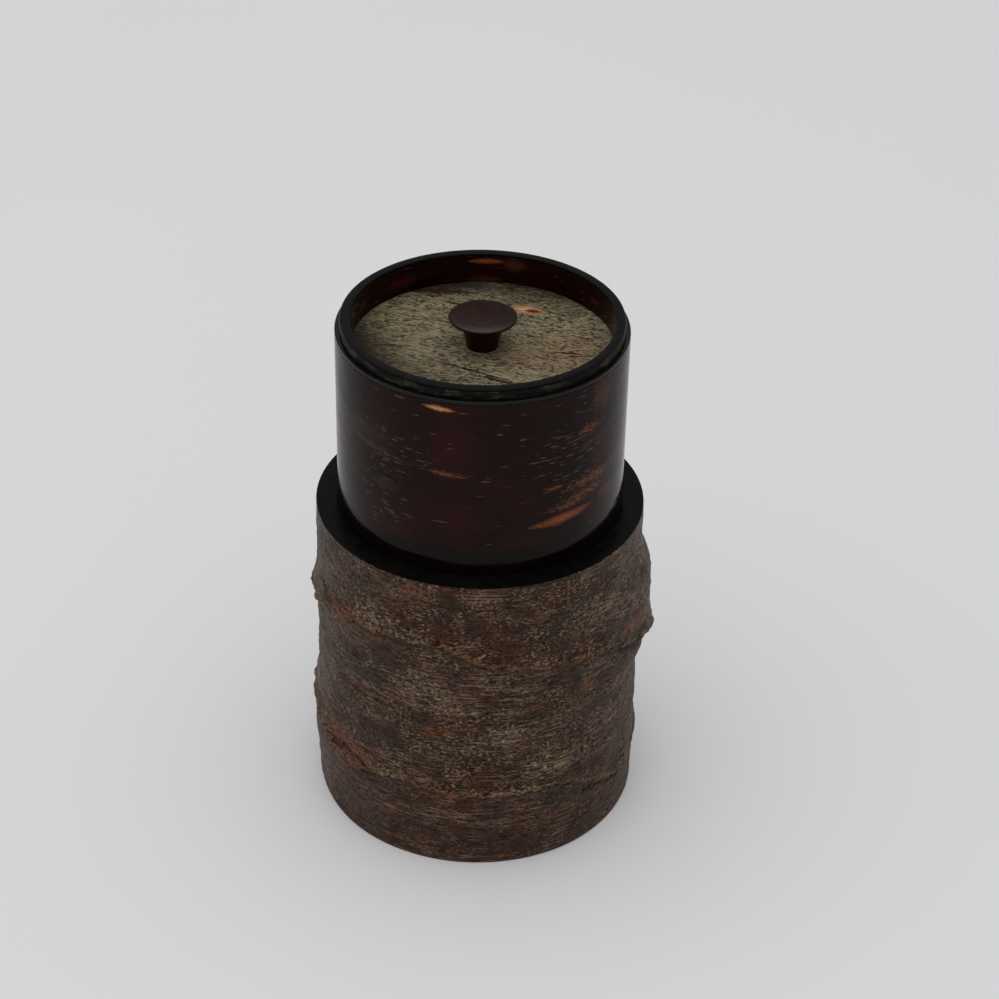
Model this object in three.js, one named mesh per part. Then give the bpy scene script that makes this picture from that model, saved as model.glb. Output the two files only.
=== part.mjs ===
// Tea caddy: a body wrapped in rough natural cherry bark, a polished-bark sleeve that stands up out of it,
// and an inner lid with a shallow well and a turned knob, which lifts straight out of the sleeve.
// Millimetres, +Z up. The origin is the centre of the underside, and the front of the caddy faces -Y.
// The tubes are bent veneer with bark pressed on, so the caddy is made of thin layers inside each other.
import * as THREE from "three";

// Flats round every turned piece: all pieces share them, so that neighbouring layers stay parallel.
const SEGMENTS = 48;

// Glue line between two pieces that are pressed together.
const glue = 0.05;

// Body
const bodyRadius = 40; // over the bark at the mouth
const mouthHeight = 83.9; // from the underside to the mouth ring's face
const bodyWall = 5.3; // from the sleeve to the outside of the bark at the mouth
const barkThickness = 2.4; // rough natural bark
const footSpread = 0.2; // how much wider the bark is at the foot than at the mouth
const mouthRingHeight = 1.2;
const mouthCalm = 7; // height below the mouth over which the bark's swellings die away

// Sleeve
const sleeveStand = 47.05; // height of the sleeve above the mouth
const sleeveBark = 0.4;
const sleeveVeneer = 1.0;
const sleeveLining = 0.3;
const rimHeight = 0.9;
const rimChamfer = 0.25;

// Floors
const baseBark = 0.6;
const baseBoard = 3.2;
const innerBoard = 2.0;
const innerBark = 0.4;

// Inner lid
const plugClearance = 0.2; // all round, between the lid's plug and the sleeve's bore
const plugDepth = 10; // how far the plug goes down into the sleeve
const plugBark = 0.35;
const plugVeneer = 0.7;
const wellBark = 0.35;
const flangeOverlap = 0.64; // how far the flange reaches out over the sleeve's rim
const flangeHeight = 2.6;
const restGap = 0.05; // between the resting flange and the rim
const lipBark = 0.4;
const wellDepth = 7.8; // from the flange's face down to the frosted floor
const floorBark = 0.4;
const underBark = 0.4;

// Knob
const knobHeight = 7.6; // above the well's floor
const knobRadius = 8.12;
const knobFace = 7.5; // radius of the face inside the rounded edge
const knobEdge = 0.5; // height of the rounded edge
const knobHead = 0.5; // thickness of the head at its edge
const knobThroat = 5.1; // neck radius just under the head
const knobFoot = 3.7; // neck radius on the floor
const knobDish = 1.2; // how far the head's underside falls towards the neck
const tenonRadius = 2.2;
const pegRadius = 0.9;
const pegTaper = 0.2; // how much slimmer the peg is at its tip
const pegLength = 2.6;

// Swellings of the natural bark. Azimuth is in degrees from the front towards +X. Spread and reach are the
// half-widths round the body and along its height. Squareness 2 is a soft hump, and 4 is a flat-topped one.
const swellings = [
  { name: "knot", azimuth: 95, height: 53, rise: 3.1, spread: 32, reach: 11.5, squareness: 4 },
  { name: "foot", azimuth: -98, height: 19, rise: 1.4, spread: 55, reach: 11, squareness: 2 },
  { name: "upper ridge", azimuth: -30, height: 62, rise: 0.5, spread: 62, reach: 7, squareness: 2 },
  { name: "lower ridge", azimuth: 5, height: 25, rise: 0.5, spread: 60, reach: 7, squareness: 2 },
  { name: "back burr", azimuth: 178, height: 38, rise: 0.9, spread: 40, reach: 14, squareness: 2 },
];
const jacketRows = 16; // rings of points up the outside of the bark

// Radii worked out from the outside in
const jacketBore = bodyRadius - barkThickness;
const sleeveRadius = bodyRadius - bodyWall;
const sleeveVeneerOuter = sleeveRadius - sleeveBark - glue;
const sleeveVeneerBore = sleeveVeneerOuter - sleeveVeneer;
const liningOuter = sleeveVeneerBore - glue;
const teaBore = liningOuter - sleeveLining;
const bodyVeneerOuter = jacketBore - glue;
const bodyVeneerBore = sleeveRadius + glue;
const bodyVeneer = (bodyVeneerOuter - bodyVeneerBore - glue) / 2; // two wraps fill the wall
const plugOuter = teaBore - plugClearance;
const plugVeneerOuter = plugOuter - plugBark - glue;
const plugVeneerBore = plugVeneerOuter - plugVeneer;
const wellOuter = plugVeneerBore - glue;
const wellBore = wellOuter - wellBark;
const flangeRadius = teaBore + flangeOverlap;
const lipBore = flangeRadius - lipBark;

// Heights worked out from the underside up
const bodyVeneerBottom = baseBark + glue;
const boardTop = bodyVeneerBottom + baseBoard;
const sleeveBottom = boardTop + glue;
const innerBoardTop = sleeveBottom + innerBoard;
const innerBarkBottom = innerBoardTop + glue;
const teaFloor = innerBarkBottom + innerBark;
const mouthRingBottom = mouthHeight - mouthRingHeight;
const sleeveTop = mouthHeight + sleeveStand;
const rimBottom = sleeveTop - rimHeight;
const flangeBottom = sleeveTop + restGap;
const flangeTop = flangeBottom + flangeHeight;
const plugBottom = sleeveTop - plugDepth;
const wellFloor = flangeTop - wellDepth;
const lidBoardBottom = plugBottom + underBark + glue;
const lidBoardTop = wellFloor - floorBark - glue;
const knobTop = wellFloor + knobHeight;
const knobRimBottom = knobTop - knobEdge - knobHead;

// Finishes
function finish(color, roughness) {
  return new THREE.MeshStandardMaterial({ color, roughness, metalness: 0 });
}
const roughBark = finish(0x6b4a3c, 0.85);
const polishedBark = finish(0x3a1c18, 0.15);
const frostedBark = finish(0x6e6a55, 0.6);
const blackLacquer = finish(0x0b0b0c, 0.2);
const veneerWood = finish(0xb48a5e, 0.7);
const knobBark = finish(0x2c1719, 0.2);

const caddy = new THREE.Group();
const lid = new THREE.Group();
caddy.add(lid);

// A solid of revolution about +Z from a closed outline of [radius, height] points, anticlockwise.
function turned(name, outline, material, parent = caddy) {
  const points = outline.map(([radius, height]) => new THREE.Vector2(radius, height));
  const geometry = new THREE.LatheGeometry(points, SEGMENTS).rotateX(Math.PI / 2);
  const mesh = new THREE.Mesh(geometry, material);
  mesh.name = name;
  parent.add(mesh);
  return mesh;
}

function tube(name, bore, radius, bottom, top, material, parent = caddy) {
  const outline = [
    [bore, bottom],
    [radius, bottom],
    [radius, top],
    [bore, top],
    [bore, bottom],
  ];
  return turned(name, outline, material, parent);
}

function disc(name, radius, bottom, top, material, parent = caddy) {
  const outline = [
    [0, bottom],
    [radius, bottom],
    [radius, top],
    [0, top],
  ];
  return turned(name, outline, material, parent);
}

// How far the natural bark stands out at a place on the body.
function swelling(azimuth, height) {
  const calm = Math.min(1, (mouthHeight - height) / mouthCalm);
  return swellings.reduce((sum, s) => {
    const turn = THREE.MathUtils.euclideanModulo(azimuth - s.azimuth + 180, 360) - 180;
    const around = Math.abs(turn / s.spread) ** 2;
    const along = Math.abs((height - s.height) / s.reach) ** s.squareness;
    return sum + s.rise * calm * Math.exp(-around - along);
  }, 0);
}

// The rough bark: a tube whose outside is pushed out by the swellings.
function barkJacket() {
  const outside = [];
  for (let row = 0; row <= jacketRows; row++) {
    const height = (mouthHeight * row) / jacketRows;
    outside.push([bodyRadius + (footSpread * (jacketRows - row)) / jacketRows, height]);
  }
  const outline = [[jacketBore, 0], ...outside, [jacketBore, mouthHeight], [jacketBore, 0]];
  const jacket = turned("bark_jacket", outline, roughBark);
  const position = jacket.geometry.getAttribute("position");
  const halfway = (jacketBore + bodyRadius) / 2;
  for (let i = 0; i < position.count; i++) {
    const radius = Math.hypot(position.getX(i), position.getY(i));
    if (radius < halfway) continue;
    const azimuth = THREE.MathUtils.radToDeg(Math.atan2(position.getX(i), -position.getY(i)));
    const scale = 1 + swelling(azimuth, position.getZ(i)) / radius;
    position.setX(i, position.getX(i) * scale);
    position.setY(i, position.getY(i) * scale);
  }
  jacket.geometry.computeVertexNormals();
}

// The body: bark over two wraps of veneer, closed below by a board and a bark disc.
function body() {
  const innerWrapOuter = bodyVeneerBore + bodyVeneer;
  const veneerTop = mouthRingBottom - glue;
  barkJacket();
  tube("body_wrap_outer", innerWrapOuter + glue, bodyVeneerOuter, bodyVeneerBottom, veneerTop, veneerWood);
  tube("body_wrap_inner", bodyVeneerBore, innerWrapOuter, bodyVeneerBottom, veneerTop, veneerWood);
  tube("mouth_ring", bodyVeneerBore, bodyVeneerOuter, mouthRingBottom, mouthHeight, blackLacquer);
  disc("base_board", sleeveRadius, bodyVeneerBottom, boardTop, veneerWood);
  disc("base_bark", bodyVeneerOuter, 0, baseBark, polishedBark);
}

// The sleeve: veneer with polished bark outside, a bark lining inside, and a lacquered rim on top.
function sleeve() {
  const layerTop = rimBottom - glue;
  const rim = [
    [teaBore, rimBottom],
    [sleeveRadius, rimBottom],
    [sleeveRadius, sleeveTop - rimChamfer],
    [sleeveRadius - rimChamfer, sleeveTop],
    [teaBore, sleeveTop],
    [teaBore, rimBottom],
  ];
  tube("sleeve_bark", sleeveVeneerOuter + glue, sleeveRadius, sleeveBottom, layerTop, polishedBark);
  tube("sleeve_core", sleeveVeneerBore, sleeveVeneerOuter, sleeveBottom, layerTop, veneerWood);
  tube("sleeve_lining", teaBore, liningOuter, teaFloor + glue, layerTop, polishedBark);
  turned("sleeve_rim", rim, blackLacquer);
  disc("inner_bottom_board", liningOuter, sleeveBottom, innerBoardTop, veneerWood);
  disc("inner_bottom_bark", liningOuter, innerBarkBottom, teaFloor, polishedBark);
}

// The knob: a mushroom turned from a stack of bark, with a tenon that goes through the lid's board.
function knob() {
  const pegTop = lidBoardBottom + pegLength;
  const shape = new THREE.Path();
  shape.moveTo(0, pegTop + glue);
  shape.lineTo(pegRadius - pegTaper + glue, pegTop + glue);
  shape.lineTo(pegRadius + glue, lidBoardBottom);
  shape.lineTo(tenonRadius, lidBoardBottom);
  shape.lineTo(tenonRadius, wellFloor + glue);
  shape.lineTo(knobFoot, wellFloor + glue);
  shape.quadraticCurveTo(
    knobFoot,
    (wellFloor + knobRimBottom) / 2,
    knobThroat,
    knobRimBottom - knobDish,
  );
  shape.lineTo(knobRadius, knobRimBottom);
  shape.lineTo(knobRadius, knobRimBottom + knobHead);
  shape.quadraticCurveTo(knobRadius, knobTop, knobFace, knobTop);
  shape.lineTo(0, knobTop);
  const outline = shape.getPoints(4).map((point) => [point.x, point.y]);
  turned("knob", outline, knobBark, lid);
  const peg = [
    [0, lidBoardBottom],
    [pegRadius, lidBoardBottom],
    [pegRadius - pegTaper, pegTop],
    [0, pegTop],
  ];
  turned("knob_peg", peg, veneerWood, lid);
}

// The inner lid: a veneer plug in bark, a lacquered flange ring with a bark lip, and a board for the well.
function innerLid() {
  const plugTop = flangeBottom - glue;
  const tenonHole = tenonRadius + glue;
  tube("lid_ring", plugVeneerBore, lipBore - glue, flangeBottom, flangeTop, blackLacquer, lid);
  tube("lid_lip_bark", lipBore, flangeRadius, flangeBottom, flangeTop, frostedBark, lid);
  tube("lid_plug_core", plugVeneerBore, plugVeneerOuter, plugBottom, plugTop, veneerWood, lid);
  tube("lid_plug_bark", plugVeneerOuter + glue, plugOuter, plugBottom, plugTop, polishedBark, lid);
  tube("lid_well_bark", wellBore, wellOuter, wellFloor + glue, flangeTop, polishedBark, lid);
  tube("lid_top_bark", tenonHole, wellOuter, wellFloor - floorBark, wellFloor, frostedBark, lid);
  tube("lid_board", tenonHole, wellOuter, lidBoardBottom, lidBoardTop, veneerWood, lid);
  disc("lid_under_bark", wellOuter, plugBottom, lidBoardBottom - glue, polishedBark, lid);
  knob();
}

body();
sleeve();
innerLid();

export default caddy;
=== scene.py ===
import math

import bpy
import numpy as np
from mathutils import Matrix, Vector


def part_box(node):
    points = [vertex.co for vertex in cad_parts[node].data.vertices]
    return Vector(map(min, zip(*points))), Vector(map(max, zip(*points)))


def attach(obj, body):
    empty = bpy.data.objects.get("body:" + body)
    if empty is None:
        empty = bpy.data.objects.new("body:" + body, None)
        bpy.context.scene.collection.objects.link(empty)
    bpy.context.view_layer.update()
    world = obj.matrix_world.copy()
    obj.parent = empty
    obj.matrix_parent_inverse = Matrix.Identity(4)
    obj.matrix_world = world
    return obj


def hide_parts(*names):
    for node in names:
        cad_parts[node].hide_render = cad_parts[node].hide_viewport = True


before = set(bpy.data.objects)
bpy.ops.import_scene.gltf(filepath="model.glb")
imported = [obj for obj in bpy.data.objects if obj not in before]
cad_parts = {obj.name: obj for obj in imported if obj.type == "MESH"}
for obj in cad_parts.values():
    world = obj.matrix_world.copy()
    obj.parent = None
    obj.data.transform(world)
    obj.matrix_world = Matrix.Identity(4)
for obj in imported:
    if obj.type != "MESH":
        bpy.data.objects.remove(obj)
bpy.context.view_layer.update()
mm = 0.001

# ---------------------------------------------------------------- Camera, table top and light
# The camera looks down at the caddy from the front through a long lens. The caddy stands on a plain pale
# table top under one very wide soft light, in a room that is palest overhead and dimmest half way up.
camera_place = Vector((0, -498.1, 411.5)) * mm
camera_dip = math.radians(33.452)
camera_turn = math.radians(-0.549)
camera_tilt = math.radians(1.208)
lens = 87.84

camera_data = bpy.data.cameras.new("camera")
camera_data.lens = lens
camera_data.sensor_width = 36
camera = bpy.data.objects.new("camera", camera_data)
camera.matrix_world = (
    Matrix.Translation(camera_place)
    @ Matrix.Rotation(camera_turn, 4, "Z")
    @ Matrix.Rotation(math.pi / 2 - camera_dip, 4, "X")
    @ Matrix.Rotation(camera_tilt, 4, "Z")
)
bpy.context.collection.objects.link(camera)
bpy.context.scene.camera = camera
bpy.context.scene.view_settings.view_transform = "Standard"


def node(tree, kind, inputs=None, **settings):
    """Adds a shader node. An input is fed by a value, a socket, or another node's first output."""
    made = tree.nodes.new("ShaderNode" + kind)
    for name, value in settings.items():
        setattr(made, name, value)
    for key, value in (inputs or {}).items():
        if isinstance(value, bpy.types.Node):
            value = value.outputs[0]
        if isinstance(value, bpy.types.NodeSocket):
            tree.links.new(value, made.inputs[key])
        else:
            made.inputs[key].default_value = value
    return made


def sum_of(tree, *terms):
    """Adds values up."""
    total = terms[0]
    for term in terms[1:]:
        total = node(tree, "Math", {0: total, 1: term}, operation="ADD")
    return total


def product_of(tree, *factors):
    """Multiplies values."""
    total = factors[0]
    for factor in factors[1:]:
        total = node(tree, "Math", {0: total, 1: factor}, operation="MULTIPLY")
    return total


def painted(tree, below, above, *masks):
    """Lays one colour over another where every mask is white. A plain number thins the colour laid on."""
    mix = node(tree, "Mix", {0: product_of(tree, *masks), 6: below, 7: above}, data_type="RGBA")
    return mix.outputs[2]


def ramp(tree, value, low, high):
    """A mask that rises smoothly from 0 to 1 as a value goes from low to high."""
    return node(tree, "MapRange", {0: value, 1: low, 2: high}, interpolation_type="SMOOTHSTEP")


def rgb(red, green, blue):
    """An opaque colour."""
    return (red, green, blue, 1)


def finish(name, **shader):
    """A new material with a Principled shader, whose constants are set on its own sockets."""
    material = bpy.data.materials.new(name)
    material.use_nodes = True
    principled = material.node_tree.nodes["Principled BSDF"]
    for key, value in shader.items():
        principled.inputs[key.replace("_", " ").title().replace("Ior", "IOR")].default_value = value
    return material, material.node_tree, principled


def applied(tree, shader, colour, relief, strength, depth, roughness=None):
    """Gives a shader its colour, its fine relief of a depth in mm, and where it varies its roughness."""
    tree.links.new(colour, shader.inputs["Base Color"])
    bump = node(tree, "Bump", {"Strength": strength, "Distance": depth * mm, "Height": relief})
    tree.links.new(bump.outputs[0], shader.inputs["Normal"])
    if roughness is not None:
        tree.links.new(roughness.outputs[0], shader.inputs["Roughness"])


def place_mm(tree):
    """The place on the caddy in millimetres."""
    coordinates = node(tree, "TexCoord").outputs["Object"]
    return node(tree, "VectorMath", {0: coordinates, "Scale": 1000}, operation="SCALE")


table_size = 6.0
table_glow = 0.10  # stands in for the light that a bright room throws under and round the caddy
bpy.ops.object.select_all(action="DESELECT")
bpy.ops.mesh.primitive_plane_add(size=table_size, location=(0, 0, 0))
table = bpy.context.object
table.name = "table_top"
table_finish, tree, shader = finish(
    "table_white", roughness=0.7, specular_ior_level=0.2, emission_strength=table_glow
)
clouding = node(tree, "TexNoise", {"Vector": place_mm(tree), "Scale": 0.004, "Detail": 2})
table_colour = painted(tree, rgb(0.66, 0.66, 0.663), rgb(0.69, 0.69, 0.697), clouding)
tree.links.new(table_colour, shader.inputs["Base Color"])
tree.links.new(table_colour, shader.inputs["Emission Color"])
table.data.materials.append(table_finish)

world = bpy.data.worlds.new("room")
bpy.context.scene.world = world
world.use_nodes = True
sky = world.node_tree
direction = node(sky, "TexCoord").outputs["Generated"]
height = node(sky, "SeparateXYZ", {0: direction}).outputs["Z"]
room_ramp = node(sky, "ValToRGB", {0: height})
room = room_ramp.color_ramp
room_levels = (
    (0.0, rgb(0.58, 0.59, 0.56)),
    (0.15, rgb(0.52, 0.53, 0.51)),
    (0.32, rgb(0.31, 0.315, 0.31)),
    (0.78, rgb(0.58, 0.585, 0.59)),
    (1.0, rgb(1.45, 1.45, 1.45)),
)
for position, _ in room_levels[1:-1]:
    room.elements.new(position)
for element, (position, colour) in zip(room.elements, room_levels):
    element.position = position
    element.color = colour
sky.links.new(room_ramp.outputs[0], sky.nodes["Background"].inputs["Color"])
sky.nodes["Background"].inputs["Strength"].default_value = 1.0

softbox = bpy.data.lights.new("softbox", "AREA")
softbox.shape = "DISK"
softbox.size = 2.4
softbox.energy = 8.4
softbox_lamp = bpy.data.objects.new("softbox", softbox)
softbox_lamp.location = (-0.3, -0.25, 1.5)
caddy_middle = Vector((0, 0, 70)) * mm
aim = caddy_middle - softbox_lamp.location
softbox_lamp.rotation_euler = aim.to_track_quat("-Z", "Y").to_euler()
bpy.context.collection.objects.link(softbox_lamp)

# ---------------------------------------------------------------- Natural bark jacket
# The body wears the bark of a cherry branch as it grew, about 2.4 mm thick, with its folds, cracks and a knot
# on the right. It is steamed, pressed round the veneer tube and glued, and its two ends are cut square.
glue = 0.05 * mm
mouth_radius = 40.0 * mm
bark_thickness = 2.4 * mm
mouth_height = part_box("mouth_ring")[1][2]
foot_spread = 0.2 * mm
calm_height = 5 * mm  # the bark's relief dies away over this height below the mouth
calm_foot = 2 * mm  # and over this height above the foot
trued_edge = 0.5 * mm  # a plain edge, left by truing, at the mouth and at the foot

# Swellings of the whole branch: azimuth from the front in degrees, height, rise, half-width round the body
# in degrees, half-width up the body, and how square their outline is.
swellings = (
    (95, 56, 3.0, 32, 13.5, 5),
    (-98, 19, 1.4, 55, 11, 2),
    (-30, 62, 0.5, 62, 7, 2),
    (5, 25, 0.5, 60, 7, 2),
    (178, 38, 0.9, 40, 14, 2),
)
# Folds of old bark that run round the branch, as (azimuth, height) places, and the cracks along them.
folds = (
    ((-180, 47), (-130, 52), (-95, 58), (-72, 61), (-57, 65), (-40, 66), (-12, 67), (5, 61.5), (28, 59),
     (47, 57), (62, 53), (92, 47), (120, 52), (150, 50), (180, 47)),
    ((-180, 24), (-120, 29), (-80, 26), (-60, 22), (-45, 21), (-25, 24.5), (-9, 22), (14, 23), (31, 22.4),
     (45, 17.5), (60, 13.5), (80, 14), (110, 17), (150, 20), (180, 24)),
    ((100, 70), (125, 73), (150, 71), (175, 74)),
)
cracks = (
    ((-75, 69), (-64, 66.2), (-55, 63.5)),
    ((-85, 21.5), (-66, 23.5), (-55, 24.6), (-46, 23.7), (-38, 21.5)),
    ((24, 58.2), (36, 60.2), (47, 57.7), (56, 55), (68, 49.7), (82, 45.5), (97, 44)),
    ((38, 16.3), (52, 14.1), (61, 12.1), (67, 13.5), (76, 14.1), (92, 16)),
    ((112, 56), (128, 52), (146, 50.5), (160, 47)),
    ((-150, 26), (-132, 29.5), (-112, 28)),
)
# Patches of rust-red inner bark and of pale crust, as (azimuth, height, half-length, half-height).
rust_patches = (
    (-40, 65.4, 12, 2.2), (-56, 64, 6, 2.5), (-21, 80, 5, 3.2), (18, 60.2, 9, 1.8), (22, 75, 4.5, 1.3),
    (42, 48.6, 4, 1.7), (-57, 27, 7, 4), (-44, 24, 6, 3), (-10, 21.5, 8, 1.8), (12, 22.8, 9, 1.2),
    (33, 34, 4, 1.4), (66, 57.5, 6, 3), (-4, 47.8, 5, 1), (-14, 41, 5, 2.5), (88, 55, 8, 4),
    (130, 52, 12, 2.5), (-125, 29, 12, 3), (170, 72, 9, 2), (-160, 58, 8, 3), (150, 18, 12, 2),
)
crust_patches = (
    (-38, 70, 10, 5), (-6, 75.8, 2.6, 2), (-9, 47.6, 8, 1.3), (8, 40, 9, 4), (24, 61, 6, 2),
    (26, 75.2, 3, 1), (-32, 23.5, 7, 2.5), (8, 23.4, 8, 1.6), (20, 22.6, 5, 1.2), (45, 70, 10, 6),
    (-20, 52, 12, 6), (30, 30, 12, 5), (140, 64, 14, 6), (-140, 44, 14, 8), (175, 30, 12, 5),
)
jacket_turns = 480
jacket_cuts = (12, 12)  # two rounds of cuts give the outside 13 times 13 rows


def choose(piece, test, kind="vertices"):
    """Enters edit mode with only the vertices or faces that pass a test selected."""
    bpy.context.view_layer.objects.active = piece
    bpy.ops.object.mode_set(mode="EDIT")
    bpy.context.tool_settings.mesh_select_mode = (kind == "vertices", False, kind == "polygons")
    bpy.ops.mesh.select_all(action="DESELECT")
    bpy.ops.object.mode_set(mode="OBJECT")
    for element in getattr(piece.data, kind):
        element.select = test(element)
    bpy.ops.object.mode_set(mode="EDIT")


def turned(name, bore, radius, bottom, top, corner, steps=192, cuts=(), cut_face="outside"):
    """A ring, or a disc where the bore is 0, turned from a rectangular section with rounded corners."""
    near = 1e-7
    bpy.ops.object.select_all(action="DESELECT")
    middle = ((bore + radius) / 2, 0, (bottom + top) / 2)
    bpy.ops.mesh.primitive_plane_add(size=1, location=middle, rotation=(math.pi / 2, 0, 0))
    piece = bpy.context.object
    piece.name = name
    piece.scale = (radius - bore, top - bottom, 1)
    bpy.ops.object.transform_apply(location=True, rotation=True, scale=True)
    choose(piece, lambda vertex: bore > 0 or vertex.co.x > radius / 2)
    bpy.ops.mesh.bevel(offset=corner, segments=4, affect="VERTICES")
    bpy.ops.mesh.select_all(action="SELECT")
    bpy.ops.mesh.delete(type="ONLY_FACE")
    bpy.ops.object.mode_set(mode="OBJECT")
    if not bore:
        choose(piece, lambda vertex: vertex.co.x < radius / 2)
        bpy.ops.mesh.delete(type="EDGE")
        bpy.ops.object.mode_set(mode="OBJECT")
    for number in cuts:
        if cut_face == "outside":
            choose(piece, lambda vertex: vertex.co.x > radius - near)
        else:
            choose(piece, lambda vertex: vertex.co.z > top - near)
        bpy.ops.mesh.subdivide(number_cuts=number)
        bpy.ops.object.mode_set(mode="OBJECT")
    turn = piece.modifiers.new("turn", "SCREW")
    turn.steps = turn.render_steps = steps
    turn.use_merge_vertices = True
    turn.merge_threshold = near
    bpy.ops.object.modifier_apply(modifier=turn.name)
    close_up(piece)
    return piece


def close_up(piece):
    """Merges the seam of a turned piece, turns its faces outwards, and shades its rounded edges smooth."""
    bpy.context.view_layer.objects.active = piece
    bpy.ops.object.mode_set(mode="EDIT")
    bpy.ops.mesh.select_all(action="SELECT")
    bpy.ops.mesh.remove_doubles(threshold=1e-6)
    bpy.ops.mesh.normals_make_consistent(inside=False)
    bpy.ops.object.mode_set(mode="OBJECT")
    sharpest_smooth_edge = math.radians(40)
    bpy.ops.object.shade_smooth_by_angle(angle=sharpest_smooth_edge)


def belongs(piece, material, body, slot, *nodes):
    """Gives a piece its finish, the body it rides on, and the nodes it stands for. Its material slot is not
    used.
    """
    piece.data.materials.append(material)
    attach(piece, body)
    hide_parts(*nodes)


def patch(azimuth, level, centre, middle, half_length, half_height):
    """How near places are to the middle of a lens-shaped patch, from 1 in the middle down to 0."""
    along = np.radians((azimuth - centre + 180) % 360 - 180) * mouth_radius / mm / half_length
    up = (level - middle) / half_height
    return np.exp(-along * along - up * up)


def course(azimuth, places):
    """The height of a line round the body, and how much of it is left near its two ends."""
    turns, heights = zip(*places)
    whole = turns[-1] - turns[0] >= 360
    taper = 5  # degrees over which an end dies away
    ends = 1 if whole else np.clip(np.minimum(azimuth - turns[0], turns[-1] - azimuth) / taper, 0, 1)
    return np.interp(azimuth, turns, heights), ends


def band(azimuth, level, places, half_height):
    """How near places are to a line round the body, from 1 on the line down to 0."""
    line, ends = course(azimuth, places)
    return ends * np.exp(-(((level - line) / half_height) ** 2))


def shelf(azimuth, level, places, reach):
    """Bark that has grown over a line from above: thickest just over it, and breaking off sharply below."""
    line, ends = course(azimuth, places)
    above = level - line
    break_height = 0.6
    return ends * np.clip(above / break_height + 0.5, 0, 1) * np.clip(1 - above / reach, 0, 1) ** 1.5


jacket = turned(
    "natural_bark", mouth_radius - bark_thickness, mouth_radius, 0, mouth_height, 0.12 * mm,
    steps=jacket_turns, cuts=jacket_cuts,
)
places = np.array([vertex.co for vertex in jacket.data.vertices])
azimuth = np.degrees(np.arctan2(places[:, 0], -places[:, 1]))
level = places[:, 2] / mm
skin_depth = 0.5 * mm
skin_fade = 0.4 * mm
skin = np.clip((np.hypot(places[:, 0], places[:, 1]) - mouth_radius + skin_depth) / skin_fade, 0, 1)
calm = np.clip((mouth_height - trued_edge - places[:, 2]) / calm_height, 0, 1)
foot = np.clip(places[:, 2] / calm_foot, 0, 1)
foot_edge = np.clip(places[:, 2] / trued_edge, 0, 1)
swell = foot_spread / mm * (1 - places[:, 2] / mouth_height)
for centre, middle, rise, spread, reach, squareness in swellings:
    turn = ((azimuth - centre + 180) % 360 - 180) / spread
    swell = swell + rise * calm * np.exp(-(turn**2) - np.abs((level - middle) / reach) ** squareness)
full_swell = 4 * mm
fold_reach = 1.9  # how far the marks of a fold or a crack reach from its line, in mm
shelf_reach = 8
fold_shade_reach = 0.9
crack_reach = 0.55


def strongest(mark, lines, reach, drop=0.0):
    """The strongest mark that any of several lines leaves at each place, moved down by a drop."""
    return np.max([mark(azimuth, level + drop, line, reach) for line in lines], axis=0)


marks = {
    "swell": skin * foot_edge * np.minimum(1, swell * mm / full_swell),
    "fold": skin * calm * strongest(band, folds, fold_reach),
    "shelf": skin * calm * foot * strongest(shelf, folds, shelf_reach),
    # The under mark is a band just below each fold, where the finish paints shade.
    "under": skin * calm * strongest(band, folds, fold_shade_reach, drop=fold_shade_reach),
    "crack": skin * calm * strongest(band, cracks, crack_reach),
    "rust": np.minimum(1, sum(patch(azimuth, level, *spot) for spot in rust_patches)),
    "crust": np.minimum(1, sum(patch(azimuth, level, *spot) for spot in crust_patches)) * skin,
    "skin": skin * calm * foot,
}


def mark_vertices(piece, marks):
    """Stores each mark as a vertex group, which guides the relief, and an attribute for the finish."""
    faintest = 0.002
    for mark, weights in marks.items():
        group = piece.vertex_groups.new(name=mark)
        for index in np.nonzero(weights > faintest)[0].tolist():
            group.add([index], weights[index], "REPLACE")
        attribute = piece.data.attributes.new("bark_" + mark, "FLOAT", "POINT")
        attribute.data.foreach_set("value", weights)


def push(piece, mark, rise, middle=0.0, grain=None, turn=0.0):
    """Moves a piece's skin along its normals where a mark is, by a cloudy grain of the size (x, y, z)."""
    modifier = piece.modifiers.new("push", "DISPLACE")
    modifier.vertex_group = mark
    modifier.strength = rise
    modifier.mid_level = middle
    stretch = None
    if grain:
        texture = bpy.data.textures.new("bark_grain", "CLOUDS")
        texture.noise_scale = 1
        texture.noise_depth = 2
        stretch = bpy.data.objects.new("stretch", None)
        stretch.scale = Vector(grain) * mm
        stretch.rotation_euler.z = turn
        bpy.context.collection.objects.link(stretch)
        bpy.context.view_layer.update()
        modifier.texture = texture
        modifier.texture_coords = "OBJECT"
        modifier.texture_coords_object = stretch
    bpy.context.view_layer.objects.active = piece
    bpy.ops.object.modifier_apply(modifier=modifier.name)
    if stretch:
        bpy.data.objects.remove(stretch)


mark_vertices(jacket, marks)
push(jacket, "swell", full_swell)
push(jacket, "skin", 0.9 * mm, 0.5, (13, 13, 9))
push(jacket, "skin", 0.45 * mm, 0.5, (7, 7, 0.9))
push(jacket, "skin", 0.42 * mm, 0.5, (1.6, 1.6, 0.9))
push(jacket, "shelf", 1.9 * mm, 0.05, (9, 9, 5))
push(jacket, "fold", 1.8 * mm, 0.36, (3.4, 3.4, 1.5))
push(jacket, "crust", 0.8 * mm, 0.35, (1.3, 1.3, 1.1))
push(jacket, "crack", -0.4 * mm)
push(jacket, "crack", -1.7 * mm, 0.40, (2.4, 2.4, 1.4))
bpy.ops.object.shade_smooth_by_angle(angle=math.radians(60))


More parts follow.
